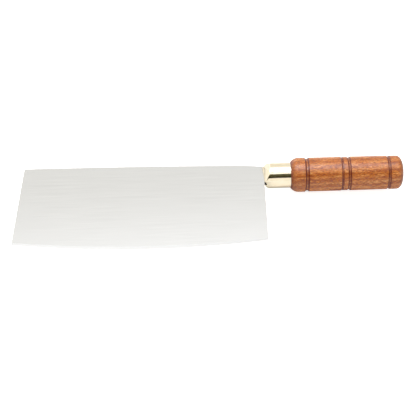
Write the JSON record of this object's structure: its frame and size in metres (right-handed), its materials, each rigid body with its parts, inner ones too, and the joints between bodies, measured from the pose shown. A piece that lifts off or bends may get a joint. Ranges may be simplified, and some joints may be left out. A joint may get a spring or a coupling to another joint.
{
  "type": "chinese cleaver",
  "caption": "Broad rectangular stainless kitchen cleaver with a gently curved edge, polished brass ferrule and grooved round wooden handle.",
  "frame": {"origin": "on the handle's axis, in the plane of the blade's heel, midway through the blade's thickness", "axes": "+X along the handle towards its butt, +Y across the blade towards its spine, +Z square to the blade's face"},
  "size_m": [0.3185, 0.0912, 0.0286],
  "materials": {
    "blade_steel": "satin stainless steel, ground along its length",
    "tang_steel": "plain steel bar, peened end",
    "ferrule_brass": "polished",
    "handle_wood": "oiled reddish-brown hardwood with scorched grooves",
    "washer_brass": "dull"
  },
  "bodies": {
    "root": {"blade": "blade_steel", "tang": "tang_steel", "ferrule": "ferrule_brass", "handle": "handle_wood", "butt_washer": "washer_brass"}
  },
  "joints": []
}
